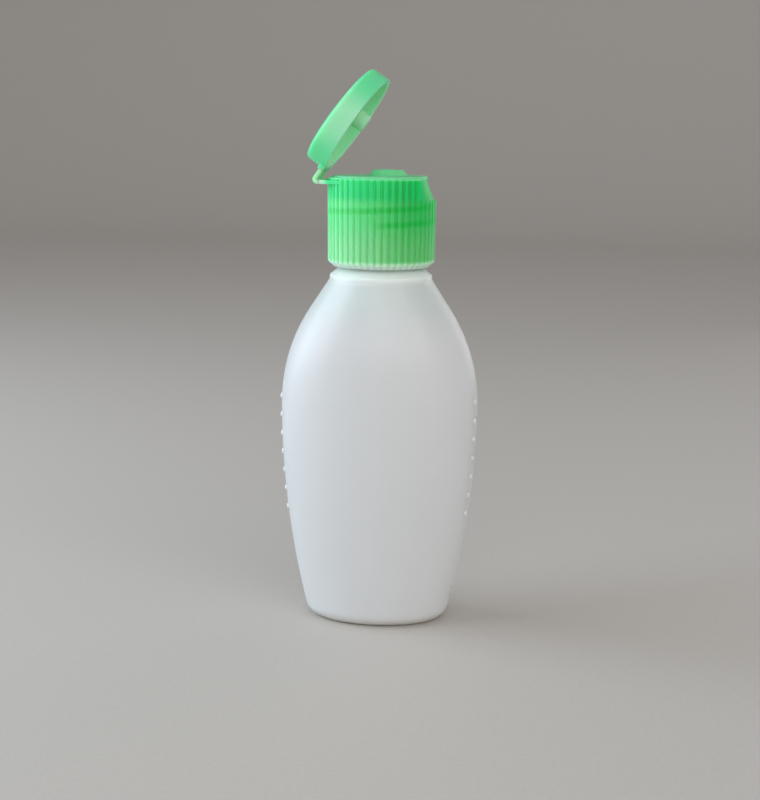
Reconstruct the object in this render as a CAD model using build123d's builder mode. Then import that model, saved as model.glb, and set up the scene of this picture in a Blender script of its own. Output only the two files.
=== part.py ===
from build123d import *
from math import cos, pi, radians, sin, sqrt, tan
import os

os.makedirs("parts", exist_ok=True)

# Body of the bottle. It is an oval, widest at the belly, with its long axis along X.
belly_half_width = 21.6
belly_half_depth = 14.5
belly_height = 48.5
lower_side_radius = 186.0
lower_face_radius = 310.0
heel_radius = 2.6
shoulder_rise = 27.2
shoulder_lean = 33.4
face_shoulder_rise = 17.7
wall = 0.9

# Base. The bottle stands on a narrow oval ring round a shallow push-up.
floor_thickness = 1.0
standing_ring = 4.6
push_up_height = 1.3
push_up_run = 2.2

# Raised grip dots, one row on each narrow side, just in front of the mould's parting line
dot_count = 7
dot_pitch = 4.15
dot_first_height = 24.7
dot_offset = 2.3
dot_radius = 0.7
dot_height = 0.36

# Ledge and neck. The thread has one start and rises to the right.
ledge_inset = 0.65
ledge_band = 1.0
ledge_cone_rise = 1.7
neck_wall = 1.65
neck_height = 18.9
neck_lip_round = 0.4
bore_cone_rise = 2.3
thread_pitch = 3.175
thread_depth = 1.0
thread_root_width = 1.7
thread_crest_width = 0.9
thread_turns = 1.25
thread_start_angle = -98.0
thread_start_rise = 11.4

# Sealing liner, a soft ring between the neck's lip and the underside of the deck
liner_thickness = 0.8
liner_overhang = 0.5
liner_gap = 0.2

# Cap. Its skirt carries vertical grip ribs that run out through the bevel at its foot.
skirt_radius = 11.75
skirt_draft = 0.2
skirt_height = 19.0
skirt_foot_bevel_rise = 1.3
skirt_foot_inset = 1.45
skirt_wall = 1.75
skirt_top_round = 0.25
rib_count = 48
rib_groove_radius = 0.42
rib_groove_depth = 0.34
deck_thickness = 1.1
deck_step = 0.38
deck_step_gap = 0.3
deck_step_round = 0.15
thread_gap = 0.25
neck_gap = 0.25
cap_thread_turns = 1.15
cap_thread_lead_turns = 0.25
cap_thread_crest_width = 1.0
cap_thread_root_width = 1.6
throat_cone_rise = 0.8

# Thumb notch on the side away from the hinge
notch_half_angle = 36.5
notch_depth = 2.2
notch_straight = 0.4
notch_foot_depth = 0.5
notch_drop = 4.7

# Nozzle and orifice, set towards the notch, and the plug pin that closes it
nozzle_offset = 1.3
nozzle_base_radius = 4.3
nozzle_top_radius = 3.2
nozzle_height = 1.3
nozzle_round = 0.4
orifice_radius = 2.2
orifice_mouth_radius = 2.6
pin_gap = 0.2
pin_reach = 1.45
pin_taper = 0.12
pin_round = 0.45

# Lid, modelled where it closes and stored open at the angle of the photograph
lid_inset = 0.05
lid_height = 4.78
lid_top_tilt = 1.7
lid_top_round = 0.9
lid_wall = 0.9
lid_top_thickness = 1.2
lid_seat_gap = 0.06
lid_open_angle = 55.0

# Strap hinge. A wing on the cap and a pad on the lid are joined by a folded strap.
hinge_axis_out = 1.42
hinge_axis_rise = 0.15
strap_half_width = 5.0
strap_thickness = 0.8
strap_film = 0.6
wing_out = 1.45
wing_drop = 0.6
wing_root_angle = 50.6
wing_root_inset = 0.1
pad_out = 0.2
pad_low = 0.1
pad_lead = 0.3

# Working values: how far a cut runs past a face, and how close counts as the same height
cut_margin = 1.0
touch = 0.01

# Radii that follow from the cap's skirt
cap_bore_radius = skirt_radius - skirt_wall
neck_radius = cap_bore_radius - thread_gap - thread_depth
neck_bore_radius = neck_radius - neck_wall
cap_throat_radius = neck_radius + neck_gap
cap_thread_depth = cap_bore_radius - cap_throat_radius
skirt_foot_radius = skirt_radius - skirt_foot_inset
ledge_radius = skirt_radius - ledge_inset
liner_inner_radius = neck_bore_radius - liner_overhang
liner_outer_radius = cap_throat_radius - liner_gap
lid_radius = skirt_radius - lid_inset
lid_bore_radius = lid_radius - lid_wall
deck_step_radius = lid_bore_radius - deck_step_gap
pin_radius = orifice_radius - pin_gap

# Heights that follow from the stack of sizes
ledge_height = belly_height + shoulder_rise
ledge_top = ledge_height + ledge_band
neck_top = ledge_top + neck_height
deck_underside = neck_top + liner_thickness
skirt_top = deck_underside + deck_thickness
skirt_foot = skirt_top - skirt_height
deck_top = skirt_top + deck_step
nozzle_top = deck_top + nozzle_height
lid_seat = skirt_top + lid_seat_gap
thread_root_height = ledge_top + thread_start_rise
cap_bore_top = thread_root_height + thread_pitch * thread_turns + thread_root_width / 2 + thread_gap


# The two outlines of the body
def fall_of_arc(radius, rise):
    """How far an arc has closed in, this far above or below its widest point."""
    return radius - sqrt(radius**2 - rise**2)


lean = radians(shoulder_lean)
shoulder_run = belly_half_width - ledge_radius
shoulder_radius = (shoulder_rise * tan(lean) - shoulder_run) / (1 / cos(lean) - 1)
shoulder_arc_rise = shoulder_radius * sin(lean)


def half_width(height):
    """Front outline: a long arc up to the belly, a short one over it, then a straight shoulder."""
    rise = height - belly_height
    if rise <= 0:
        return belly_half_width - fall_of_arc(lower_side_radius, rise)
    arc_rise = min(rise, shoulder_arc_rise)
    straight_run = (rise - arc_rise) * tan(lean)
    return belly_half_width - fall_of_arc(shoulder_radius, arc_rise) - straight_run


def half_depth(height):
    """Side outline: a long arc up to the belly, upright above it, then drawn in to the round ledge."""
    if height <= belly_height:
        return belly_half_depth - fall_of_arc(lower_face_radius, belly_height - height)
    share = max(0, 1 - (ledge_height - height) / face_shoulder_rise)
    return belly_half_depth - (belly_half_depth - ledge_radius) * (1 - cos(share * pi / 2))


lower_steps = 5
upper_steps = 8
lower_heights = [belly_height * step / lower_steps for step in range(lower_steps)]
upper_heights = [belly_height + shoulder_rise * step / upper_steps for step in range(upper_steps + 1)]
section_heights = lower_heights + upper_heights
base_half_width = half_width(0)
base_half_depth = half_depth(0)
cavity_heights = [floor_thickness] + [height for height in section_heights if height > heel_radius]

# Places of the lid and the strap. The lid's sections are drawn as closed and turned open here.
open_angle = radians(lid_open_angle)
hinge_x = -(skirt_radius + hinge_axis_out)
hinge_z = lid_seat + hinge_axis_rise


def opened(x, z):
    """Where a point of the closed lid lies once the lid stands open."""
    run, rise = x - hinge_x, z - hinge_z
    return (
        hinge_x + run * cos(open_angle) - rise * sin(open_angle),
        hinge_z + run * sin(open_angle) + rise * cos(open_angle),
    )


def lid_plane(offset):
    """Upright section of the open lid, this far from its middle towards the notch."""
    x, z = opened(offset, lid_seat)
    return Plane((x, 0, z), (cos(open_angle), 0, sin(open_angle)), (0, -1, 0))


lid_section = lid_plane(0)
pin_section = lid_plane(nozzle_offset)
lid_axis = Axis(lid_section.origin, lid_section.y_dir)
lid_rim_plane = Plane(lid_section.origin, lid_section.x_dir, lid_section.y_dir)
lid_top_plane = lid_rim_plane.offset(lid_height).rotated((0, lid_top_tilt, 0))
pin_axis = Axis(pin_section.origin, pin_section.y_dir)
nozzle_section = Plane((nozzle_offset, 0, 0), (1, 0, 0), (0, -1, 0))
nozzle_axis = Axis((nozzle_offset, 0, 0), (0, 0, 1))

wing_top = skirt_top - wing_drop
wing_end_x = -(skirt_radius + wing_out)
wing_root_x = -(skirt_radius - wing_root_inset) * cos(radians(wing_root_angle))
wing_root_half_width = (skirt_radius - wing_root_inset) * sin(radians(wing_root_angle))
pad_face = lid_radius + pad_out
pad_root = lid_radius * cos(pi / 4)
pad_low_point = opened(-pad_face, lid_seat + pad_low)
pad_high = opened(-pad_face, lid_seat + pad_low + strap_thickness)
fold_x = pad_low_point[0] - (pad_low_point[1] - wing_top) / tan(open_angle)


def thread_path(radius, start_height, start_angle, turns):
    """Right-hand helix that a thread's profile is swept along."""
    helix = Helix(pitch=thread_pitch, height=thread_pitch * turns, radius=radius, center=(0, 0, start_height))
    return helix.rotate(Axis.Z, start_angle)


def across(path):
    """Plane across the start of a helix, with X pointing away from its axis."""
    start = path @ 0
    return Plane(origin=start, x_dir=(start.X, start.Y, 0), z_dir=path % 0)


# The cap's thread lies half a pitch under the neck's
neck_helix = thread_path(neck_radius, thread_root_height, thread_start_angle, thread_turns)
cap_helix = thread_path(
    cap_bore_radius,
    thread_root_height + thread_pitch * (cap_thread_lead_turns - 1 / 2),
    thread_start_angle + 360 * cap_thread_lead_turns,
    cap_thread_turns,
)


# Bottle: one blow-moulded shell, with the neck's finish on top
with BuildPart() as bottle:
    for height in section_heights:
        with BuildSketch(Plane.XY.offset(height)):
            Ellipse(half_width(height), half_depth(height))
    loft()
    heel = bottle.faces().sort_by(Axis.Z)[0].edges()
    fillet(heel, radius=heel_radius)

    dot_sphere_radius = (dot_radius**2 + dot_height**2) / (2 * dot_height)
    dot_depth = dot_sphere_radius - dot_height
    for step in range(dot_count):
        height = dot_first_height + step * dot_pitch
        reach = half_width(height) * sqrt(1 - (dot_offset / half_depth(height)) ** 2)
        with Locations((reach - dot_depth, -dot_offset, height), (dot_depth - reach, -dot_offset, height)):
            Sphere(dot_sphere_radius)

    with BuildSketch(Plane.XZ):
        with BuildLine():
            Polyline(
                (0, ledge_height),
                (ledge_radius, ledge_height),
                (ledge_radius, ledge_top),
                (neck_radius, ledge_top + ledge_cone_rise),
                (neck_radius, neck_top),
                (0, neck_top),
                close=True,
            )
        make_face()
    revolve(axis=Axis.Z)

    with BuildSketch(across(neck_helix)):
        with BuildLine():
            Polyline(
                (-neck_gap, -thread_root_width / 2),
                (0, -thread_root_width / 2),
                (thread_depth, -thread_crest_width / 2),
                (thread_depth, thread_crest_width / 2),
                (0, thread_root_width / 2),
                (-neck_gap, thread_root_width / 2),
                close=True,
            )
        make_face()
    sweep(path=neck_helix, is_frenet=True)

    for height in cavity_heights:
        with BuildSketch(Plane.XY.offset(height)):
            Ellipse(half_width(height) - wall, half_depth(height) - wall)
    loft(mode=Mode.SUBTRACT)
    cavity_floor = bottle.faces().filter_by(Axis.Z).filter_by_position(
        Axis.Z, floor_thickness - touch, floor_thickness + touch
    )
    fillet(cavity_floor.edges(), radius=heel_radius - wall)

    # The push-up, first as a dome on the floor and then as the hollow under it
    for lift, mode in ((floor_thickness, Mode.ADD), (0, Mode.SUBTRACT)):
        for rise, run in ((0, 0), (push_up_height, push_up_run)):
            with BuildSketch(Plane.XY.offset(lift + rise)):
                Ellipse(base_half_width - standing_ring - run, base_half_depth - standing_ring - run)
        loft(ruled=True, mode=mode)

    with BuildSketch(Plane.XZ):
        with BuildLine():
            Polyline(
                (0, ledge_height),
                (ledge_radius - wall, ledge_height),
                (neck_bore_radius, ledge_height + bore_cone_rise),
                (neck_bore_radius, neck_top),
                (0, neck_top),
                close=True,
            )
        make_face()
    revolve(axis=Axis.Z, mode=Mode.SUBTRACT)
    lip = bottle.edges().group_by(Axis.Z)[-1]
    fillet(lip, radius=neck_lip_round)

bottle.part.label = "bottle"
export_step(bottle.part, "parts/bottle.step")


# Sealing liner: a flat ring that is pressed into the cap and sits on the neck's lip
with BuildPart() as sealing_liner:
    with BuildSketch(Plane.XY.offset(neck_top)):
        Circle(liner_outer_radius)
        Circle(liner_inner_radius, mode=Mode.SUBTRACT)
    extrude(amount=liner_thickness)

sealing_liner.part.label = "sealing_liner"
export_step(sealing_liner.part, "parts/sealing_liner.step")


# Cap: ribbed skirt, stepped deck, nozzle, thumb notch, hinge wing and the thread inside
with BuildPart() as cap_body:
    for radius, height in ((skirt_radius - skirt_draft, skirt_foot), (skirt_radius, skirt_top)):
        with BuildSketch(Plane.XY.offset(height)):
            Circle(radius)
            with PolarLocations(radius - rib_groove_depth + rib_groove_radius, rib_count):
                Circle(rib_groove_radius, mode=Mode.SUBTRACT)
    loft(ruled=True)

    # A turned envelope bevels the foot and eases the top, so the ribs run out through both
    bevel_lean = (skirt_radius - skirt_foot_radius) / skirt_foot_bevel_rise
    with BuildSketch(Plane.XZ):
        with BuildLine():
            Polyline(
                (0, skirt_foot),
                (skirt_foot_radius, skirt_foot),
                (skirt_radius + cut_margin, skirt_foot + skirt_foot_bevel_rise + cut_margin / bevel_lean),
                (skirt_radius + cut_margin, skirt_top - skirt_top_round - cut_margin),
                (skirt_radius - skirt_top_round, skirt_top),
                (0, skirt_top),
                close=True,
            )
        make_face()
    revolve(axis=Axis.Z, mode=Mode.INTERSECT)

    with BuildSketch(Plane.XY.offset(wing_top - strap_thickness)):
        with BuildLine():
            Polyline(
                (wing_root_x, -wing_root_half_width),
                (wing_end_x, -strap_half_width),
                (wing_end_x, strap_half_width),
                (wing_root_x, wing_root_half_width),
                close=True,
            )
        make_face()
    extrude(amount=strap_thickness)

    with BuildSketch(Plane.XY.offset(skirt_top)):
        Circle(deck_step_radius)
    extrude(amount=deck_step)
    chamfer(cap_body.faces().sort_by(Axis.Z)[-1].edges(), length=deck_step_round)

    with BuildSketch(nozzle_section):
        with BuildLine():
            Polyline(
                (0, skirt_top),
                (nozzle_base_radius, skirt_top),
                (nozzle_base_radius, deck_top),
                (nozzle_top_radius, nozzle_top),
                (0, nozzle_top),
                close=True,
            )
        make_face()
    revolve(axis=nozzle_axis)
    fillet(cap_body.faces().sort_by(Axis.Z)[-1].edges(), radius=nozzle_round)

    notch_start = radians(-notch_half_angle)
    notch_plane = Plane((0, 0, 0), (cos(notch_start), sin(notch_start), 0), (sin(notch_start), -cos(notch_start), 0))
    with BuildSketch(notch_plane):
        with BuildLine():
            Polyline(
                (skirt_radius - notch_depth, deck_top + cut_margin),
                (skirt_radius - notch_depth, skirt_top - notch_straight),
                (skirt_radius - notch_foot_depth, skirt_top - notch_drop),
                (skirt_radius + cut_margin, skirt_top - notch_drop),
                (skirt_radius + cut_margin, deck_top + cut_margin),
                close=True,
            )
        make_face()
    revolve(axis=Axis.Z, revolution_arc=2 * notch_half_angle, mode=Mode.SUBTRACT)

    with BuildSketch(Plane.XZ):
        with BuildLine():
            Polyline(
                (0, skirt_foot),
                (cap_bore_radius, skirt_foot),
                (cap_bore_radius, cap_bore_top),
                (cap_throat_radius, cap_bore_top + throat_cone_rise),
                (cap_throat_radius, deck_underside),
                (0, deck_underside),
                close=True,
            )
        make_face()
    revolve(axis=Axis.Z, mode=Mode.SUBTRACT)

    with BuildSketch(nozzle_section):
        with BuildLine():
            Polyline(
                (0, deck_underside),
                (orifice_radius, deck_underside),
                (orifice_radius, deck_top),
                (orifice_mouth_radius, nozzle_top),
                (0, nozzle_top),
                close=True,
            )
        make_face()
    revolve(axis=nozzle_axis, mode=Mode.SUBTRACT)

    with BuildSketch(across(cap_helix)):
        with BuildLine():
            Polyline(
                (neck_gap, -cap_thread_root_width / 2),
                (0, -cap_thread_root_width / 2),
                (-cap_thread_depth, -cap_thread_crest_width / 2),
                (-cap_thread_depth, cap_thread_crest_width / 2),
                (0, cap_thread_root_width / 2),
                (neck_gap, cap_thread_root_width / 2),
                close=True,
            )
        make_face()
    sweep(path=cap_helix, is_frenet=True)

cap_body.part.label = "cap_body"
export_step(cap_body.part, "parts/cap_body.step")


# Lid: a shallow cup, a little deeper at the hinge, with the plug pin and a pad for the strap
with BuildPart() as flip_lid:
    with BuildSketch(lid_rim_plane):
        Circle(lid_radius)
    extrude(amount=lid_height + lid_radius * tan(radians(lid_top_tilt)))
    split(bisect_by=lid_top_plane, keep=Keep.BOTTOM)
    top_face = flip_lid.faces().sort_by(lid_axis)[-1]
    fillet(top_face.edges(), radius=lid_top_round)

    with BuildSketch(lid_section):
        with BuildLine():
            Polyline(
                (-pad_root, 0),
                (-pad_face, 0),
                (-pad_face, pad_low + strap_thickness + pad_low),
                (-lid_radius, pad_low + strap_thickness + pad_low + pad_lead),
                (-pad_root, pad_low + strap_thickness + pad_low + pad_lead),
                close=True,
            )
        make_face()
    extrude(amount=strap_half_width, both=True)

    with BuildSketch(lid_section):
        with BuildLine():
            Polyline(
                (0, 0),
                (lid_bore_radius, 0),
                (lid_bore_radius, lid_height - lid_top_thickness),
                (0, lid_height - lid_top_thickness),
                close=True,
            )
        make_face()
    revolve(axis=lid_axis, mode=Mode.SUBTRACT)

    with BuildSketch(pin_section):
        with BuildLine():
            Polyline(
                (0, lid_height - lid_top_thickness),
                (pin_radius, lid_height - lid_top_thickness),
                (pin_radius, 0),
                (pin_radius - pin_taper, -pin_reach),
                (0, -pin_reach),
                close=True,
            )
        make_face()
    revolve(axis=pin_axis)
    fillet(flip_lid.faces().sort_by(pin_axis)[0].edges(), radius=pin_round)

flip_lid.part.label = "flip_lid"
export_step(flip_lid.part, "parts/flip_lid.step")


# Living hinge: the strap between the cap's wing and the lid's pad, thinned at its fold
with BuildPart() as living_hinge:
    with BuildSketch(Plane.XZ):
        with BuildLine():
            Polyline(
                (wing_end_x, wing_top - strap_thickness),
                (fold_x, wing_top - strap_thickness),
                (fold_x - strap_film * cos(open_angle / 2), wing_top - strap_film * sin(open_angle / 2)),
                (fold_x - strap_thickness * sin(open_angle), wing_top + strap_thickness * cos(open_angle)),
                pad_high,
                pad_low_point,
                (fold_x, wing_top),
                (wing_end_x, wing_top),
                close=True,
            )
        make_face()
    extrude(amount=strap_half_width, both=True)

living_hinge.part.label = "living_hinge"
export_step(living_hinge.part, "parts/living_hinge.step")
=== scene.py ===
# %% [markdown]
# An oval plastic bottle with a green flip-top cap
#
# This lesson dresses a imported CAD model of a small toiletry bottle. The CAD model gives the frame:
# the places and sizes of the parts, and which of them move together. Blender adds what a
# photograph shows and a solid does not: smooth moulded skins, milky and green plastics that let
# light through, and soft studio light.

# %% Load the frame
import bpy
from math import cos, pi, radians, sin, sqrt, tan
from mathutils import Matrix, Vector


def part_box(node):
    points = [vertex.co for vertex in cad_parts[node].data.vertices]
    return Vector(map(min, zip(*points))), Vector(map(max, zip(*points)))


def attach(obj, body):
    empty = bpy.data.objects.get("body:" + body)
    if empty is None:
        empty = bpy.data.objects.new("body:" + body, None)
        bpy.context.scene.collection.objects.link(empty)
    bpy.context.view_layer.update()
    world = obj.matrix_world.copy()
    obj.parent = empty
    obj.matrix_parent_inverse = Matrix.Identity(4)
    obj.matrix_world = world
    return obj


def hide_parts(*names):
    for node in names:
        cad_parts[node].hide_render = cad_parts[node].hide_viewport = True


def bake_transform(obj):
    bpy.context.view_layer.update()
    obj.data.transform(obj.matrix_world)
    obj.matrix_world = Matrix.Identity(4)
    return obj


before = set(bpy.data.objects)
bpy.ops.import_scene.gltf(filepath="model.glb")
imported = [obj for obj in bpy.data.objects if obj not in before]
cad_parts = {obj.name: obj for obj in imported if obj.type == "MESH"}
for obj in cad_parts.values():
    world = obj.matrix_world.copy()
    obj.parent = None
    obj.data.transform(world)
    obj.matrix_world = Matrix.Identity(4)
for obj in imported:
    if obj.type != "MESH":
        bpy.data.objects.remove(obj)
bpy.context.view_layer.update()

print("nodes:", sorted(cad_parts))

# %% [markdown]
# The camera
#
# The photograph was taken from a little above the bottle and a little to its right. The numbers were
# fitted to it: how far the lens stands from the neck's axis, how high it is above the floor, how it
# is turned, and its focal length in pixels.

# %% Camera
MM = 0.001
PICTURE_HEIGHT = 800
SENSOR = 36.0
FOCAL_PX, AIM_OFFSET_PX = 1560.0, 0.8
CAMERA_TURN, CAMERA_DIP, CAMERA_ROLL = radians(7.5), radians(10.1), radians(0.8)
CAMERA_DISTANCE, CAMERA_HEIGHT = 338.5 * MM, 109.2 * MM

camera_data = bpy.data.cameras.new("camera")
camera_data.sensor_width = SENSOR
camera_data.lens = FOCAL_PX / PICTURE_HEIGHT * SENSOR
camera_data.shift_x = AIM_OFFSET_PX / PICTURE_HEIGHT
camera = bpy.data.objects.new("camera", camera_data)
bpy.context.scene.collection.objects.link(camera)
camera_x, camera_y = CAMERA_DISTANCE * sin(CAMERA_TURN), -CAMERA_DISTANCE * cos(CAMERA_TURN)
stand = Matrix.Translation((camera_x, camera_y, CAMERA_HEIGHT))
aim = Matrix.Rotation(CAMERA_TURN, 4, "Z") @ Matrix.Rotation(pi / 2 - CAMERA_DIP, 4, "X")
camera.matrix_world = stand @ aim @ Matrix.Rotation(CAMERA_ROLL, 4, "Z")
bpy.context.scene.camera = camera
print("camera: lens", round(camera_data.lens, 1), "mm, at", [round(c, 3) for c in stand.translation])

# %% [markdown]
# Shader arithmetic
#
# A material is a small graph of nodes. Writing the graph as Python sums is easier to read than
# linking nodes by hand, so one class wraps a node's socket and turns plus, minus and times into
# Math nodes. Every other node is made by one method, which takes the node's type, its settings
# and what goes into its sockets. Three short methods ask it for the nodes that are used most.


# %% Shader helpers
class Signal:
    """An output socket that sums can be done with."""

    def __init__(self, finish, socket):
        self.finish = finish
        self.socket = socket

    def maths(self, operation, first, second=0.0):
        return self.finish.node("ShaderNodeMath", {"operation": operation}, {0: first, 1: second})

    def __add__(self, other):
        return self.maths("ADD", self, other)

    def __radd__(self, other):
        return self.maths("ADD", other, self)

    def __sub__(self, other):
        return self.maths("SUBTRACT", self, other)

    def __rsub__(self, other):
        return self.maths("SUBTRACT", other, self)

    def __mul__(self, other):
        return self.maths("MULTIPLY", self, other)

    def __rmul__(self, other):
        return self.maths("MULTIPLY", other, self)


class Finish:
    """A material that is put together node by node."""

    def __init__(self, name):
        self.material = bpy.data.materials.new(name)
        self.material.use_nodes = True
        self.tree = self.material.node_tree
        self.tree.nodes.clear()

    def node(self, kind, settings, sockets, output=0):
        made = self.tree.nodes.new(kind)
        for name, value in settings.items():
            setattr(made, name, value)
        for name, value in sockets.items():
            if isinstance(value, Signal):
                self.tree.links.new(value.socket, made.inputs[name])
            else:
                made.inputs[name].default_value = value
        return Signal(self, made.outputs[output])

    def noise(self, place, scale, detail):
        return self.node("ShaderNodeTexNoise", {}, {"Vector": place, "Scale": scale, "Detail": detail})

    def mix_colour(self, share, first, second):
        return self.node("ShaderNodeMix", {"data_type": "RGBA"}, {0: share, 6: first, 7: second}, 2)

    def soft_step(self, value, low, high):
        """0 below low and 1 above high, with a soft step between."""
        settings = {"interpolation_type": "SMOOTHSTEP"}
        sockets = {"Value": value, "From Min": low, "From Max": high}
        return self.node("ShaderNodeMapRange", settings, sockets)

    def length_step(self, length, low, high):
        """A soft step over a length, with both its ends in millimetres."""
        return self.soft_step(length, low * MM, high * MM)

    def close(self, surface):
        output = self.tree.nodes.new("ShaderNodeOutputMaterial")
        self.tree.links.new(surface.socket, output.inputs["Surface"])
        return self.material


print("shader helpers ready")

# %% [markdown]
# The size of the bottle
#
# These are the bottle's own sizes, in millimetres, as the CAD model has them. The two outlines of
# the body are worked out from arcs and one smooth curve, so one function gives the half-width seen
# from the front and another the half-depth seen from the side.

# %% Sizes
BELLY_WIDTH, BELLY_DEPTH, BELLY_HEIGHT = 21.6, 14.5, 48.5
SIDE_ARC, FACE_ARC = 186.0, 310.0
SHOULDER_RISE, SHOULDER_LEAN, FACE_SHOULDER_RISE = 27.2, radians(33.4), 17.7
HEEL, WALL, FLOOR_THICKNESS = 2.6, 0.9, 1.0
STANDING_RING, PUSH_UP, PUSH_UP_RUN = 4.6, 1.3, 2.2
LEDGE_RADIUS, LEDGE_BAND, LEDGE_CONE = 11.1, 1.0, 1.7
NECK_RADIUS, NECK_BORE, NECK_HEIGHT, LIP_ROUND, BORE_CONE = 8.75, 7.1, 18.9, 0.4, 2.3
PITCH, THREAD_DEPTH, THREAD_ROOT, THREAD_CREST = 3.175, 1.0, 1.7, 0.9
THREAD_TURNS, THREAD_START, THREAD_RISE = 1.25, radians(-98.0), 11.4
ledge_height = BELLY_HEIGHT + SHOULDER_RISE
ledge_top = ledge_height + LEDGE_BAND
neck_top = ledge_top + NECK_HEIGHT
thread_height = ledge_top + THREAD_RISE


def fall_of_arc(radius, rise):
    return radius - sqrt(radius**2 - rise**2)


def half_width(height):
    rise = height - BELLY_HEIGHT
    if rise <= 0:
        return BELLY_WIDTH - fall_of_arc(SIDE_ARC, rise)
    run = BELLY_WIDTH - LEDGE_RADIUS
    arc = (SHOULDER_RISE * tan(SHOULDER_LEAN) - run) / (1 / cos(SHOULDER_LEAN) - 1)
    arc_rise = min(rise, arc * sin(SHOULDER_LEAN))
    return BELLY_WIDTH - fall_of_arc(arc, arc_rise) - (rise - arc_rise) * tan(SHOULDER_LEAN)


def half_depth(height):
    if height <= BELLY_HEIGHT:
        return BELLY_DEPTH - fall_of_arc(FACE_ARC, BELLY_HEIGHT - height)
    share = max(0, 1 - (ledge_height - height) / FACE_SHOULDER_RISE)
    return BELLY_DEPTH - (BELLY_DEPTH - LEDGE_RADIUS) * (1 - cos(share * pi / 2))


print("belly", 2 * half_width(BELLY_HEIGHT), "mm wide; base", round(2 * half_width(0), 2), "mm wide")

# %% [markdown]
# Modelling with rings
#
# The bottle can be drawn as a pile of rings. A circle is added, squeezed to the first ring, and
# then extruded from ring to ring: up the outside, over the lip and down the inside, so the wall
# gets its true thickness in one go. The same helper draws the parting line and the pinch-off line.


# %% Ring helper
def start_alone():
    bpy.ops.object.select_all(action="DESELECT")


def pile_of_rings(name, sides, rings):
    """Each ring is (x, z, half_width, half_depth) in millimetres. Both ends are closed."""
    start_alone()
    x, z, wide, deep = rings[0]
    bpy.ops.mesh.primitive_circle_add(vertices=sides, radius=MM, location=(x * MM, 0, z * MM))
    piece = bpy.context.object
    piece.name = name
    bpy.ops.object.transform_apply(location=True, rotation=True)
    bpy.ops.object.mode_set(mode="EDIT")
    bpy.ops.mesh.select_all(action="SELECT")
    bpy.ops.transform.resize(value=(wide, deep, 1), center_override=(x * MM, 0, z * MM))
    bpy.ops.mesh.edge_face_add()
    for next_x, next_z, next_wide, next_deep in rings[1:]:
        bpy.ops.mesh.extrude_edges_move()
        grow = (next_wide / wide, next_deep / deep, 1)
        bpy.ops.transform.resize(value=grow, center_override=(x * MM, 0, z * MM))
        bpy.ops.transform.translate(value=((next_x - x) * MM, 0, (next_z - z) * MM))
        x, z, wide, deep = next_x, next_z, next_wide, next_deep
    bpy.ops.mesh.edge_face_add()
    bpy.ops.mesh.select_all(action="SELECT")
    bpy.ops.mesh.normals_make_consistent(inside=False)
    bpy.ops.object.mode_set(mode="OBJECT")
    return piece


def smooth(piece, angle=35):
    start_alone()
    piece.select_set(True)
    bpy.context.view_layer.objects.active = piece
    bpy.ops.object.shade_smooth_by_angle(angle=radians(angle))


def in_mm(lengths):
    return [round(length / MM, 2) for length in lengths]


def report(piece):
    piece.data.calc_loop_triangles()
    print(piece.name, in_mm(piece.dimensions), "mm,", len(piece.data.loop_triangles), "triangles")


print("ring helper ready")

# %% [markdown]
# The bottle
#
# The real bottle is blown in a two-part mould. Its body is an oval that changes height by height,
# its heel is rounded, and the floor is pushed up so that it stands on a narrow ring. Here the
# outside is drawn from the middle of the floor up to the lip, and the inside back down again.

# %% Bottle rings
SIDES, BODY_STEPS, HEEL_STEPS = 144, 46, 7
EDGE = 0.12
MIDDLE_WIDE, MIDDLE_DEEP = 0.8, 0.4
LIP_SAG = 0.3 * LIP_ROUND


def heel_ring(share, radius, inset, base):
    """A ring of the rounded heel: share 0 is on the floor and 1 on the wall."""
    swing = share * pi / 2
    height = base + radius * (1 - cos(swing))
    draw_in = radius * (1 - sin(swing)) + inset
    return (0, height, half_width(height) - draw_in, half_depth(height) - draw_in)


base_wide, base_deep = half_width(0) - STANDING_RING, half_depth(0) - STANDING_RING
outside = [
    (0, PUSH_UP, MIDDLE_WIDE, MIDDLE_DEEP),
    (0, PUSH_UP, base_wide - PUSH_UP_RUN - EDGE, base_deep - PUSH_UP_RUN - EDGE),
    (0, PUSH_UP - EDGE, base_wide - PUSH_UP_RUN + EDGE, base_deep - PUSH_UP_RUN + EDGE),
    (0, EDGE, base_wide - EDGE, base_deep - EDGE),
    (0, 0, base_wide + EDGE, base_deep + EDGE),
]
heel_shares = [step / HEEL_STEPS for step in range(HEEL_STEPS + 1)]
outside += [heel_ring(share, HEEL, 0, 0) for share in heel_shares]
body_span = ledge_height - EDGE - HEEL
body_heights = [HEEL + body_span * step / BODY_STEPS for step in range(1, BODY_STEPS + 1)]
outside += [(0, height, half_width(height), half_depth(height)) for height in body_heights]

ledge_profile = [
    (LEDGE_RADIUS, ledge_height + EDGE),
    (LEDGE_RADIUS, ledge_top - EDGE),
    (LEDGE_RADIUS - EDGE, ledge_top),
    (NECK_RADIUS + EDGE, ledge_top + LEDGE_CONE - EDGE / 2),
    (NECK_RADIUS, ledge_top + LEDGE_CONE + EDGE),
    (NECK_RADIUS, neck_top - LIP_ROUND),
    (NECK_RADIUS - LIP_SAG, neck_top - LIP_SAG),
    (NECK_RADIUS - LIP_ROUND, neck_top),
    (NECK_BORE + LIP_ROUND, neck_top),
    (NECK_BORE + LIP_SAG, neck_top - LIP_SAG),
    (NECK_BORE, neck_top - LIP_ROUND),
    (NECK_BORE, ledge_height + BORE_CONE),
]
neck = [(0, height, radius, radius) for radius, height in ledge_profile]
inside_heights = [height for height in reversed(body_heights) if height > HEEL + FLOOR_THICKNESS]
inside = [(0, height, half_width(height) - WALL, half_depth(height) - WALL) for height in inside_heights]
inside += [heel_ring(1 - share, HEEL - WALL, WALL, FLOOR_THICKNESS) for share in heel_shares]
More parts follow.
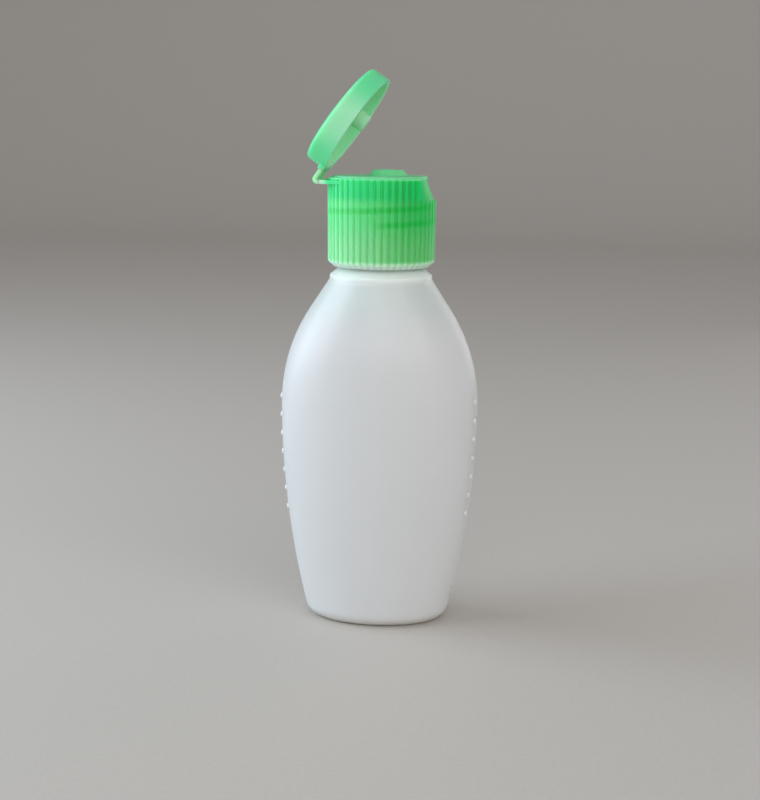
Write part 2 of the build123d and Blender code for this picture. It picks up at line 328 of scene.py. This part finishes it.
inside += [
    (0, FLOOR_THICKNESS, base_wide + EDGE, base_deep + EDGE),
    (0, FLOOR_THICKNESS + PUSH_UP, base_wide - PUSH_UP_RUN, base_deep - PUSH_UP_RUN),
    (0, FLOOR_THICKNESS + PUSH_UP, MIDDLE_WIDE, MIDDLE_DEEP),
]
bottle_skin = pile_of_rings("bottle_skin", SIDES, outside + neck + inside)
smooth(bottle_skin)
report(bottle_skin)

# %% [markdown]
# The neck's thread
#
# A thread is a small profile carried round and up at the same time, which is what the Screw
# modifier does. The profile's foot lies a little inside the neck, so that no gap shows along it,
# and a face closes the ridge at each end.

# %% Neck thread
THREAD_STEPS_A_TURN, THREAD_SUNK = 72, 0.2


def screw_thread(name):
    """A ridge of tapered section, at its height and from its starting angle."""
    start_alone()
    bpy.ops.mesh.primitive_plane_add(size=MM, location=(0, 0, 0), rotation=(pi / 2, 0, 0))
    piece = bpy.context.object
    piece.name = name
    bpy.ops.object.transform_apply(rotation=True)
    foot, crest = NECK_RADIUS - THREAD_SUNK, NECK_RADIUS + THREAD_DEPTH
    lower = ((foot, -THREAD_ROOT / 2), (crest, -THREAD_CREST / 2))
    upper = ((foot, THREAD_ROOT / 2), (crest, THREAD_CREST / 2))
    corners = sorted(piece.data.vertices, key=lambda v: (v.co.z > 0, v.co.x > 0))
    for corner, (out, up) in zip(corners, lower + upper):
        corner.co = (out * MM, 0, up * MM)
    bpy.ops.object.mode_set(mode="EDIT")
    bpy.ops.mesh.select_all(action="SELECT")
    bpy.ops.mesh.delete(type="ONLY_FACE")
    bpy.ops.object.mode_set(mode="OBJECT")
    screw = piece.modifiers.new("thread", "SCREW")
    screw.angle = 2 * pi * THREAD_TURNS
    screw.screw_offset = PITCH * MM * THREAD_TURNS
    screw.steps = screw.render_steps = int(THREAD_STEPS_A_TURN * THREAD_TURNS)
    screw.use_merge_vertices = False
    bpy.ops.object.modifier_apply(modifier=screw.name)
    bpy.ops.object.mode_set(mode="EDIT")
    bpy.ops.mesh.select_all(action="DESELECT")
    bpy.ops.mesh.select_non_manifold()
    bpy.ops.mesh.edge_face_add()
    bpy.ops.mesh.select_all(action="SELECT")
    bpy.ops.mesh.normals_make_consistent(inside=False)
    bpy.ops.object.mode_set(mode="OBJECT")
    piece.rotation_euler = (0, 0, THREAD_START)
    piece.location = (0, 0, thread_height * MM)
    bpy.ops.object.transform_apply(location=True, rotation=True)
    return piece


neck_thread = screw_thread("neck_thread")
smooth(neck_thread)
report(neck_thread)

# %% [markdown]
# Milky plastic
#
# The bottle is blow-moulded from uncoloured polyethylene about a millimetre thick. It scatters
# light inside the wall, so it looks milky, and light from behind glows through it. Subsurface
# scattering does just that. The skin has a very fine grain and a faint unevenness from the
# blowing, which a little bump and a varying roughness give. Light from the green cap is painted
# into the colour of the shoulder and the ledge, so the colour changes with the height there; on
# the ledge it is painted paler still, as the light that comes through the cap into its shade. The
# heel is painted a little duller and warmer, as painted shade with a painted reflection of the warm
# floor. The small raised marks are meshes of their own, and light that scatters in them is lost at
# their foot, so their finish scatters less.

# %% Milky plastic
# Painted light from the cap: a green tint on the shoulder and a paler ledge in the cap's shade.
SHOULDER_GLOW = (0.69, 0.83, 0.80, 1)
LEDGE_GLOW = (0.81, 1.0, 0.91, 1)
# Painted shade at the heel, with a painted reflection of the warm floor.
PAINTED_HEEL_SHADE = (0.69, 0.685, 0.65, 1)
HEEL_LOW, HEEL_HIGH = 0.8, 3.2
SHOULDER_LOW, SHOULDER_HIGH = 62.0, ledge_height - 2
LEDGE_LOW = ledge_height - 1
MILKY_CLOUD, MILKY_GRAIN, MILKY_SWELL = 60.0, 4200.0, 110.0
GRAIN_RELIEF, SWELL_RELIEF = 0.35, 6.0
MILKY_ROUGHNESS, ROUGHNESS_SWING = 0.28, 0.10


def milky_plastic(name, shade, tint, scatter=0.85):
    finish = Finish(name)
    place = finish.node("ShaderNodeTexCoord", {}, {}, "Object")
    cloud = finish.noise(place, MILKY_CLOUD, 2.0)
    grain = finish.noise(place, MILKY_GRAIN, 3.0)
    swell = finish.noise(place, MILKY_SWELL, 1.0)
    relief = grain * GRAIN_RELIEF + swell * SWELL_RELIEF
    bump = finish.node("ShaderNodeBump", {}, {"Strength": 0.35, "Distance": 0.00004, "Height": relief})
    height = finish.node("ShaderNodeSeparateXYZ", {}, {"Vector": place}, "Z")
    above_heel = finish.length_step(height, HEEL_LOW, HEEL_HIGH)
    shoulder = finish.length_step(height, SHOULDER_LOW, SHOULDER_HIGH)
    ledge = finish.length_step(height, LEDGE_LOW, ledge_height)
    wall = finish.mix_colour(cloud, shade, tint)
    body = finish.mix_colour(above_heel, PAINTED_HEEL_SHADE, wall)
    near_cap = finish.mix_colour(shoulder, body, SHOULDER_GLOW)
    surface = finish.node(
        "ShaderNodeBsdfPrincipled",
        {"subsurface_method": "RANDOM_WALK"},
        {
            "Base Color": finish.mix_colour(ledge, near_cap, LEDGE_GLOW),
            "Roughness": grain * ROUGHNESS_SWING + MILKY_ROUGHNESS,
            "IOR": 1.5,
            "Specular IOR Level": 0.5,
            "Subsurface Weight": scatter,
            "Subsurface Radius": (1.0, 1.0, 1.0),
            "Subsurface Scale": 5.0 * MM,
            "Normal": bump,
        },
    )
    return finish.close(surface)


milky = milky_plastic("milky_plastic", (0.79, 0.825, 0.855, 1), (0.825, 0.855, 0.885, 1))
raised_white = milky_plastic("raised_white", (0.84, 0.86, 0.875, 1), (0.87, 0.885, 0.90, 1), 0.4)
liner_white = milky_plastic("liner_white", (0.78, 0.78, 0.75, 1), (0.84, 0.84, 0.82, 1))
print("made", milky.name, raised_white.name, "and", liner_white.name)

# %% [markdown]
# Green plastic
#
# The cap is injection-moulded polypropylene with a little green in it. Thin parts such as the lid
# and the strap glow where light comes through them. Thick parts look deeper: the ring above the
# bore, and the places where the neck's thread lies behind the skirt. The thread is a helix, so its
# shadow in the plastic is worked out from the height and from the angle round the axis. Light and
# shade are painted into the colour as well: light from the left is painted into the grooves
# between the grip ribs there, and the right side is painted deeper green as shade, its grooves
# deepest. A painted highlight runs along the rounded top edge. The plastic is palest at the foot of
# the skirt, where the ribs run out.

# %% Colours of the green plastic
SKIRT_GREEN = (0.125, 0.70, 0.245, 1)
# The deeper greens paint shade on the right side, away from the light on the left.
SHADED_SKIRT_GREEN = (0.02, 0.52, 0.10, 1)
LOW_SKIRT_GREEN = (0.27, 0.72, 0.33, 1)
SHADED_LOW_SKIRT_GREEN = (0.12, 0.54, 0.16, 1)
TOP_GREEN = (0.035, 0.63, 0.215, 1)
SHADED_TOP_GREEN = (0.001, 0.57, 0.115, 1)
THREAD_GREEN = (0.003, 0.52, 0.06, 1)
# The lid's pale green is painted glow, and its edge and inside greens are painted shade.
LID_GREEN = (0.36, 0.78, 0.47, 1)
LID_SHADED_EDGE_GREEN = (0.11, 0.68, 0.31, 1)
LID_SHADED_INSIDE_GREEN = (0.40, 0.76, 0.49, 1)
# Painted light in the grooves at the left, and painted shade in those at the right.
GROOVE_GREEN = (0.34, 0.95, 0.40, 1)
SHADED_GROOVE_GREEN = (0.004, 0.34, 0.05, 1)
STRETCHED_GREEN = (0.42, 0.80, 0.47, 1)
STRAP_GREEN = (0.32, 0.72, 0.39, 1)
FOOT_PALE = (0.66, 0.93, 0.70, 1)
GREEN_CLOUD, GREEN_GRAIN, GREEN_ROUGHNESS = 90.0, 5200.0, 0.30


def green_plastic(name, colour_of, depth=4.5, spread=(0.25, 1.0, 0.4)):
    """Depth is how far light scatters, in millimetres, and spread is its share in red, green and blue."""
    finish = Finish(name)
    place = finish.node("ShaderNodeTexCoord", {}, {}, "Object")
    cloud = finish.noise(place, GREEN_CLOUD, 2.0)
    grain = finish.noise(place, GREEN_GRAIN, 2.0)
    bump = finish.node("ShaderNodeBump", {}, {"Strength": 0.25, "Distance": 0.00003, "Height": grain})
    surface = finish.node(
        "ShaderNodeBsdfPrincipled",
        {"subsurface_method": "RANDOM_WALK"},
        {
            "Base Color": colour_of(finish, place, cloud),
            "Roughness": grain * ROUGHNESS_SWING + GREEN_ROUGHNESS,
            "IOR": 1.49,
            "Specular IOR Level": 0.2,
            "Subsurface Weight": 0.9,
            "Subsurface Radius": spread,
            "Subsurface Scale": depth * MM,
            "Normal": bump,
        },
    )
    return finish.close(surface)


print("green plastic ready")

# %% [markdown]
# Where the cap is thick, and where light and shade are painted
#
# Each change of colour is a mask: a soft step over a height, over the place from left to right, or
# over the distance from the axis. The thread's mask counts turns of the helix instead, so the steps
# of its band are parts of a turn.

# %% Masks on the cap
FOOT_HEIGHT, FOOT_BEVEL, CAP_TOP = 78.5, 1.3, 97.5
RIB_COUNT, RIB_ROOT, RIB_TOP = 48, 11.25, 11.4
THREAD_GAP, SHADOW_DROP = 0.25, 0.4
BORE_TOP = thread_height + PITCH * THREAD_TURNS + THREAD_ROOT / 2 + THREAD_GAP
RING_LOW, RING_HIGH = BORE_TOP - 1.2, BORE_TOP + 0.8
# A painted highlight along the rounded top edge of the cap.
TOP_EDGE_HIGHLIGHT_LOW, TOP_EDGE_HIGHLIGHT_HIGH = CAP_TOP - 0.5, CAP_TOP - 0.1
PALE_LOW, PALE_HIGH = FOOT_HEIGHT + 0.6 * FOOT_BEVEL, FOOT_HEIGHT + 1.5 * FOOT_BEVEL
LIGHT_LOW, LIGHT_HIGH = FOOT_HEIGHT + 3.0, FOOT_HEIGHT + 12.0
WING_X, SKIRT_X = -12.5, -10.8
# Painted shade grows from the lit left to the shaded right between these two.
LIT_SIDE_X, SHADED_SIDE_X = -7.5, 11.7
# The grooves are painted in shade from the middle out to this far right.
SHADED_GROOVE_X = 7.0
BAND_CORE, BAND_EDGE, LEAD_IN = 0.05, 0.32, 0.07
RUN_OUT_START, RUN_OUT_END = THREAD_TURNS - 1.06, THREAD_TURNS - 0.97


class Spot:
    """A point of the green plastic, and masks from 0 to 1 that are worked out from its place."""

    def __init__(self, finish, place):
        self.finish = finish
        self.x, self.y, self.z = [
            finish.node("ShaderNodeSeparateXYZ", {}, {"Vector": place}, axis) for axis in ("X", "Y", "Z")
        ]

    def reach(self):
        """The distance from the axis."""
        return self.x.maths("SQRT", self.x * self.x + self.y * self.y)

    def angle(self):
        """The angle round the axis."""
        return self.y.maths("ARCTAN2", self.y, self.x)

    def crest(self):
        """1 on each grip rib and 0 in the groove beside it."""
        swing = self.angle() * RIB_COUNT
        return 0.5 - swing.maths("COSINE", swing) * 0.5

    def band(self, turns):
        """1 on the thread, and 0 about a third of a pitch above or below it."""
        return 1.0 - self.finish.soft_step(turns.maths("ABSOLUTE", turns), BAND_CORE, BAND_EDGE)

    def thread(self):
        """1 where the neck's thread lies behind the skirt."""
        angle = self.angle() - THREAD_START
        turn = angle.maths("FRACT", angle * (0.5 / pi))
        rise = (self.z - (thread_height - SHADOW_DROP) * MM) * (1 / (PITCH * MM)) - turn
        first_turn = self.band(rise) * self.finish.soft_step(turn, 0.0, LEAD_IN)
        left_over = 1.0 - self.finish.soft_step(turn, RUN_OUT_START, RUN_OUT_END)
        second_turn = self.band(rise - 1.0) * left_over
        return turn.maths("MAXIMUM", first_turn, second_turn)


print("the ring above the bore starts at", round(BORE_TOP, 2), "mm")

# %% Colour of the cap
RING_CLOUD = 0.1
LIT_GROOVE_SHARE, LIT_GROOVE_FADE, SHADED_GROOVE_SHARE = 0.4, 0.8, 0.45
THREAD_SHARE, THREAD_SHARE_GAIN = 0.42, 0.5
TOP_EDGE_HIGHLIGHT_SHARE = 0.45
FOOT_SHARE, FOOT_CREST_SHARE = 0.55, 0.4


def cap_colour(finish, place, cloud):
    """Yellow-green skirt, deeper ring and threads, and paler where the plastic is thin or stretched. Painted
    shade deepens the right side and its grooves, painted light fills the grooves at the left, and a painted
    highlight runs along the top edge.
    """
    spot = Spot(finish, place)
    ring = finish.length_step(spot.z, RING_LOW, RING_HIGH)
    top_edge_highlight = finish.length_step(spot.z, TOP_EDGE_HIGHLIGHT_LOW, TOP_EDGE_HIGHLIGHT_HIGH)
    foot = 1.0 - finish.length_step(spot.z, PALE_LOW, PALE_HIGH)
    low = 1.0 - finish.length_step(spot.z, LIGHT_LOW, LIGHT_HIGH)
    wing = 1.0 - finish.length_step(spot.x, WING_X, SKIRT_X)
    # Painted shade: 0 on the lit left and 1 on the shaded right.
    right_shade = finish.length_step(spot.x, LIT_SIDE_X, SHADED_SIDE_X)
    ribbed = finish.length_step(spot.reach(), RIB_ROOT, RIB_TOP)
    crest = spot.crest()
    # Painted light fills the grooves at the left; painted shade darkens them at the right.
    lit_groove = (1.0 - crest) * (1.0 - right_shade * LIT_GROOVE_FADE) * ribbed
    shaded_groove = (1.0 - crest) * finish.length_step(spot.x, 0.0, SHADED_GROOVE_X) * ribbed
    upper_skirt = finish.mix_colour(right_shade, SKIRT_GREEN, SHADED_SKIRT_GREEN)
    lower_skirt = finish.mix_colour(right_shade, LOW_SKIRT_GREEN, SHADED_LOW_SKIRT_GREEN)
    skirt = finish.mix_colour(low, upper_skirt, lower_skirt)
    skirt = finish.mix_colour(lit_groove * LIT_GROOVE_SHARE, skirt, GROOVE_GREEN)
    top = finish.mix_colour(right_shade, TOP_GREEN, SHADED_TOP_GREEN)
    colour = finish.mix_colour(ring * (1 - RING_CLOUD) + cloud * RING_CLOUD, skirt, top)
    # The thread's band is painted deeper on the shaded right.
    thread = spot.thread() * (right_shade * THREAD_SHARE_GAIN + THREAD_SHARE)
    colour = finish.mix_colour(thread, colour, THREAD_GREEN)
    colour = finish.mix_colour(shaded_groove * SHADED_GROOVE_SHARE, colour, SHADED_GROOVE_GREEN)
    # Painted highlight along the top edge, in the lid's pale green.
    colour = finish.mix_colour(top_edge_highlight * TOP_EDGE_HIGHLIGHT_SHARE, colour, LID_GREEN)
    colour = finish.mix_colour(foot * (crest * FOOT_CREST_SHARE + FOOT_SHARE), colour, FOOT_PALE)
    return finish.mix_colour(wing, colour, STRETCHED_GREEN)


cap_green = green_plastic("cap_green", cap_colour)
print("made", cap_green.name)

# %% [markdown]
# Colour of the lid and the strap
#
# The lid is modelled standing open, so its masks are measured in its own frame: a Mapping node
# moves the middle of its rim to the origin and turns it flat. The strap is so thin that one mottled
# green is enough.

# %% Colour of the lid and the strap
LID_OPEN = radians(55.0)
HINGE_X, HINGE_Z = -13.17, 97.71
LID_SEAT, LID_HEIGHT, LID_RADIUS, LID_WALL, LID_TOP_THICK = 97.56, 4.78, 11.7, 0.9, 1.2
HOLLOW_START, HOLLOW_END = LID_RADIUS - LID_WALL, LID_RADIUS - 0.3 * LID_WALL
CEILING_LOW, CEILING_HIGH = LID_HEIGHT - 0.8 * LID_TOP_THICK, LID_HEIGHT - 0.4 * LID_TOP_THICK
END_START, END_FULL = 1.5, 9.5
CORNER_LOW = LID_HEIGHT - 0.9
LID_CLOUD = 0.2
STRAP_DEPTH, STRAP_SPREAD = 1.2, (0.7, 1.0, 0.8)


def opened(x, z):
    """Where a point of the closed lid lies once the lid stands open."""
    run, rise = x - HINGE_X, z - HINGE_Z
    swung_x = HINGE_X + run * cos(LID_OPEN) - rise * sin(LID_OPEN)
    return (swung_x, HINGE_Z + run * sin(LID_OPEN) + rise * cos(LID_OPEN))


def lid_colour(finish, place, cloud):
    """Painted glow outside, greyer inside as painted shade, and painted shade at both ends of the rim and
    along its top edge, where the wall turns away.
    """
    rim_x, rim_z = opened(0, LID_SEAT)
    settings = {"vector_type": "TEXTURE"}
    turned = {"Vector": place, "Location": (rim_x * MM, 0, rim_z * MM), "Rotation": (0, -LID_OPEN, 0)}
    spot = Spot(finish, finish.node("ShaderNodeMapping", settings, turned))
    hollow = 1.0 - finish.length_step(spot.reach(), HOLLOW_START, HOLLOW_END)
    below_top = 1.0 - finish.length_step(spot.z, CEILING_LOW, CEILING_HIGH)
    end = finish.length_step(spot.x.maths("ABSOLUTE", spot.x), END_START, END_FULL)
    corner = finish.length_step(spot.z, CORNER_LOW, LID_HEIGHT)
    # Painted shade at both ends of the rim and along the top edge.
    deeper = corner.maths("MAXIMUM", end, corner)
    outside = finish.mix_colour(deeper * (1 - LID_CLOUD) + cloud * LID_CLOUD, LID_GREEN, LID_SHADED_EDGE_GREEN)
    # Painted shade inside the lid.
    return finish.mix_colour(hollow * below_top, outside, LID_SHADED_INSIDE_GREEN)


def strap_colour(finish, place, cloud):
    """One mottled green. Its place is not used, but every colour function is called alike."""
    return finish.mix_colour(cloud, STRETCHED_GREEN, STRAP_GREEN)


lid_green = green_plastic("lid_green", lid_colour)
strap_green = green_plastic("strap_green", strap_colour, STRAP_DEPTH, STRAP_SPREAD)
print("made", lid_green.name, "and", strap_green.name)

# %% [markdown]
# Grip dots and parting line
#
# Each narrow side carries a row of seven raised dots for wet fingers, cut into the mould just in
# front of the line where its two halves meet. A dot is the cap of a sphere: the sphere is added at
# its place and cut off just under the skin. The parting line is a hair-thin ridge that runs up both
# narrow sides.

# %% Grip dots
DOT_COUNT, DOT_PITCH, DOT_FIRST, DOT_OFFSET = 7, 4.15, 24.7, 2.3
DOT_RADIUS, DOT_PROUD, DOT_ROOT, DOT_FINENESS = 0.7, 0.35, 0.25, 4


def grip_dot(side, height):
    """One dot: side is 1 on the right and -1 on the left."""
    reach = half_width(height) * sqrt(1 - (DOT_OFFSET / half_depth(height)) ** 2)
    ball = (DOT_RADIUS**2 + DOT_PROUD**2) / (2 * DOT_PROUD)
    middle = side * (reach + DOT_PROUD - ball) * MM
    start_alone()
    spot = (middle, -DOT_OFFSET * MM, height * MM)
    bpy.ops.mesh.primitive_ico_sphere_add(subdivisions=DOT_FINENESS, radius=ball * MM, location=spot)
    dot = bpy.context.object
    bpy.ops.object.transform_apply(location=True)
    bpy.ops.object.mode_set(mode="EDIT")
    bpy.ops.mesh.select_all(action="SELECT")
    cut = (side * (reach - DOT_ROOT) * MM, 0, 0)
    bpy.ops.mesh.bisect(plane_co=cut, plane_no=(side, 0, 0), clear_inner=True, use_fill=True)
    bpy.ops.object.mode_set(mode="OBJECT")
    return dot


def join(name, pieces):
    start_alone()
    for piece in pieces:
        piece.select_set(True)
    bpy.context.view_layer.objects.active = pieces[0]
    bpy.ops.object.join()
    pieces[0].name = name
    return pieces[0]


dots = [grip_dot(side, DOT_FIRST + step * DOT_PITCH) for side in (1, -1) for step in range(DOT_COUNT)]
grip_dots = join("grip_dots", dots)
smooth(grip_dots)
report(grip_dots)

# %% Parting line
LINE_HALF_WIDTH, LINE_PROUD, LINE_ROOT, LINE_STEPS, LINE_SIDES = 0.16, 0.06, 0.2, 44, 4


def parting_ridge(side):
    """A ridge of diamond section whose outer edge stands just proud of the wall."""
    span = ledge_height - 2 * EDGE - HEEL
    heights = [HEEL + span * step / LINE_STEPS for step in range(LINE_STEPS + 1)]
    middle = (LINE_PROUD - LINE_ROOT) / 2
    half_thick = (LINE_PROUD + LINE_ROOT) / 2
    places = [(side * (half_width(height) + middle), height) for height in heights]
    rings = [(x, z, half_thick, LINE_HALF_WIDTH) for x, z in places]
    return pile_of_rings("ridge", LINE_SIDES, rings)


parting_line = join("parting_line", [parting_ridge(1), parting_ridge(-1)])
report(parting_line)

# %% [markdown]
# The pinch-off
#
# The mould closes on a soft tube of plastic and pinches its end shut, which leaves a low welded
# ridge across the floor. It lies inside the pushed-up hollow, so the bottle doesn't rock on it.

# %% Pinch-off line
PINCH_LENGTH, PINCH_WIDTH, PINCH_PROUD, PINCH_ROOT = 17.0, 0.7, 0.35, 0.15
PINCH_CREST, PINCH_SIDES = PINCH_WIDTH / 3, 32
pinch_foot = (0, PUSH_UP + PINCH_ROOT, PINCH_LENGTH / 2, PINCH_WIDTH / 2)
pinch_top = (0, PUSH_UP - PINCH_PROUD, PINCH_LENGTH / 2 - PINCH_WIDTH, PINCH_CREST / 2)
pinch_line = pile_of_rings("pinch_line", PINCH_SIDES, [pinch_foot, pinch_top])
smooth(pinch_line)
report(pinch_line)

# %% [markdown]
# The strap
#
# The cap, its strap and its lid are moulded in one go, and the strap is thin enough to bend for
# years. It is the one piece that changes shape. It is drawn as a chain of short sections from the
# cap at one end to the lid at the other. A flat rectangle is extruded along the strap's middle line
# and turned with it, and then the edges are rounded.

# %% Strap
STRAP_HALF_WIDTH, STRAP_THICK, STRAP_SKIN = 5.0, 0.8, 0.02
STRAP_EDGE, STRAP_EDGE_STEPS, STRAP_EDGE_ANGLE, STRAP_SMOOTH_ANGLE = 0.12, 3, radians(50), 40
WING_END_X, WING_MIDDLE = -13.2, 96.5
PAD_X, PAD_Z = -12.73, 98.95
FOLD_RADIUS, FOLD_STEPS, LEG_STEPS, STRAP_GRIP = 0.55, 10, 4, 0.5


def strap_path():
    """Middle line of the strap as (x, z, heading): out along the wing, round the fold, up to the lid."""
    leg = (PAD_Z - WING_MIDDLE) / sin(LID_OPEN)
    corner_x = PAD_X - leg * cos(LID_OPEN)
    turn = pi - LID_OPEN
    tangent = FOLD_RADIUS * tan(turn / 2)
    fold_x = corner_x + tangent
    path = [(WING_END_X + STRAP_GRIP, WING_MIDDLE, 0.0), (WING_END_X, WING_MIDDLE, 0.0)]
    for step in range(FOLD_STEPS + 1):
        swing = turn * step / FOLD_STEPS
        path.append((fold_x - FOLD_RADIUS * sin(swing), WING_MIDDLE + FOLD_RADIUS * (1 - cos(swing)), swing))
    run = leg - tangent + STRAP_GRIP
    x, z, heading = path[-1]
    for step in range(1, LEG_STEPS + 1):
        gone = run * step / LEG_STEPS
        path.append((x + gone * cos(LID_OPEN), z + gone * sin(LID_OPEN), heading))
    return path


def folded_strap(name):
    path = strap_path()
    x, z, heading = path[0]
    start_alone()
    bpy.ops.mesh.primitive_plane_add(size=2 * MM, location=(x * MM, 0, z * MM), rotation=(0, pi / 2, 0))
    piece = bpy.context.object
    piece.name = name
    bpy.ops.object.transform_apply(location=True, rotation=True)
    bpy.ops.object.mode_set(mode="EDIT")
    bpy.ops.mesh.select_all(action="SELECT")
    grow = (1, STRAP_HALF_WIDTH + STRAP_SKIN, STRAP_THICK / 2 + STRAP_SKIN)
    bpy.ops.transform.resize(value=grow, center_override=(x * MM, 0, z * MM))
    for next_x, next_z, next_heading in path[1:]:
        bpy.ops.mesh.extrude_region_move()
        bpy.ops.transform.translate(value=((next_x - x) * MM, 0, (next_z - z) * MM))
        place = (next_x * MM, 0, next_z * MM)
        bpy.ops.transform.rotate(value=heading - next_heading, orient_axis="Y", center_override=place)
        x, z, heading = next_x, next_z, next_heading
    bpy.ops.mesh.select_all(action="SELECT")
    bpy.ops.mesh.normals_make_consistent(inside=False)
    bpy.ops.object.mode_set(mode="OBJECT")
    rounding = piece.modifiers.new("edges", "BEVEL")
    rounding.width = STRAP_EDGE * MM
    rounding.segments = STRAP_EDGE_STEPS
    rounding.limit_method = "ANGLE"
    rounding.angle_limit = STRAP_EDGE_ANGLE
    bpy.ops.object.modifier_apply(modifier=rounding.name)
    return piece


hinge_strap = folded_strap("hinge_strap")
smooth(hinge_strap, STRAP_SMOOTH_ANGLE)
report(hinge_strap)
cad_low, cad_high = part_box("living_hinge")
print("CAD strap from", in_mm(cad_low), "to", in_mm(cad_high))
strap_low = [min(v.co[axis] for v in hinge_strap.data.vertices) for axis in range(3)]
strap_high = [max(v.co[axis] for v in hinge_strap.data.vertices) for axis in range(3)]
print("new strap from", in_mm(strap_low), "to", in_mm(strap_high))

# %% [markdown]
# What stands for what
#
# The new pieces of the bottle ride on the body that carries them, and the strap stays where it is
# drawn. The CAD solids of the bottle and the strap are hidden, because the new pieces stand for them.
# The cap, the lid and the liner keep their solids and only get a finish.

# %% Rides
for piece, finish in (
    (bottle_skin, milky),
    (neck_thread, milky),
    (grip_dots, raised_white),
    (parting_line, raised_white),
    (pinch_line, raised_white),
):
    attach(piece, "shell")
    piece.data.materials.append(finish)
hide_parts("bottle")
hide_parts("living_hinge")
hinge_strap.data.materials.append(strap_green)
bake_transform(hinge_strap)
for node, finish in (("cap_body", cap_green), ("flip_lid", lid_green), ("sealing_liner", liner_white)):
    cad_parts[node].data.materials.clear()
    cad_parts[node].data.materials.append(finish)
print("rides set")

# %% [markdown]
# Floor and light
#
# The photograph shows soft daylight from the left and behind. A plain pale floor that curves up
# into a backdrop, one large soft lamp at the left, a broad one in front and a faint rim lamp behind
# give the same soft modelling without copying the place. Blender's usual view transform dulls
# strong colours to save bright highlights. These greens would lose most by that, and nothing here
# is brighter than white paper, so the plain Standard view is used.

# %% Floor
FLOOR_SIZE, FLOOR_SHIFT, BACKDROP_HEIGHT = 2.4, 0.4, 1.6
CURVE_WIDTH, CURVE_STEPS = 0.5, 24
FLOOR_DARK, FLOOR_LIGHT = (0.475, 0.44, 0.405, 1), (0.535, 0.50, 0.465, 1)
FLOOR_SPECK, FLOOR_ROUGHNESS = 900.0, 0.7


def pale_surface():
    finish = Finish("pale_surface")
    place = finish.node("ShaderNodeTexCoord", {}, {}, "Object")
    colour = finish.mix_colour(finish.noise(place, FLOOR_SPECK, 4.0), FLOOR_DARK, FLOOR_LIGHT)
    sockets = {"Base Color": colour, "Roughness": FLOOR_ROUGHNESS}
    return finish.close(finish.node("ShaderNodeBsdfPrincipled", {}, sockets))


def stage_floor():
    """A square whose far edge is drawn up into a backdrop, with the corner between them rounded."""
    start_alone()
    bpy.ops.mesh.primitive_plane_add(size=FLOOR_SIZE, location=(0, FLOOR_SHIFT, 0))
    floor = bpy.context.object
    floor.name = "floor"
    bpy.ops.object.mode_set(mode="EDIT")
    bpy.ops.mesh.select_all(action="DESELECT")
    bpy.ops.object.mode_set(mode="OBJECT")
    for edge in floor.data.edges:
        edge.select = all(floor.data.vertices[v].co.y > 0 for v in edge.vertices)
    bpy.ops.object.mode_set(mode="EDIT")
    bpy.ops.mesh.select_mode(type="EDGE")
    bpy.ops.mesh.extrude_region_move(TRANSFORM_OT_translate={"value": (0, 0, BACKDROP_HEIGHT)})
    bpy.ops.object.mode_set(mode="OBJECT")
    bevel = floor.modifiers.new("curve", "BEVEL")
    bevel.width = CURVE_WIDTH
    bevel.segments = CURVE_STEPS
    bevel.limit_method = "ANGLE"
    bpy.ops.object.modifier_apply(modifier=bevel.name)
    bpy.ops.object.shade_smooth()
    bpy.ops.object.transform_apply(location=True)
    floor.data.materials.append(pale_surface())
    return floor


floor = stage_floor()
print("floor:", len(floor.data.polygons), "faces")

# %% Lamps
SKY_COLOUR, SKY_STRENGTH = (0.95, 0.96, 0.98, 1), 0.5


def soft_lamp(name, place, target, size, power, colour, spread=180.0):
    """Places and sizes are in metres, the power is in watts and the spread in degrees."""
    data = bpy.data.lights.new(name, "AREA")
    data.shape = "RECTANGLE"
    data.size, data.size_y = size
    data.energy = power
    data.color = colour
    data.spread = radians(spread)
    lamp = bpy.data.objects.new(name, data)
    bpy.context.scene.collection.objects.link(lamp)
    towards = Vector(target) - Vector(place)
    lamp.matrix_world = Matrix.Translation(place) @ towards.to_track_quat("-Z", "Y").to_matrix().to_4x4()


soft_lamp("window_left", (-0.50, -0.06, 0.26), (0, 0, 0.07), (0.55, 0.50), 2.95, (0.75, 0.89, 1.0))
soft_lamp("front_fill", (0.35, -0.80, 0.30), (0, 0, 0.06), (1.3, 0.9), 6.0, (1.0, 0.975, 0.95))
soft_lamp("back_rim", (0.30, 0.45, 0.16), (0, 0, 0.07), (0.35, 0.3), 0.07, (1.0, 0.98, 0.95), 80.0)

world = bpy.data.worlds.new("world")
world.use_nodes = True
world.node_tree.nodes["Background"].inputs["Color"].default_value = SKY_COLOUR
world.node_tree.nodes["Background"].inputs["Strength"].default_value = SKY_STRENGTH
bpy.context.scene.world = world
bpy.context.scene.view_settings.view_transform = "Standard"
print("lamps: three soft boxes and a pale sky")
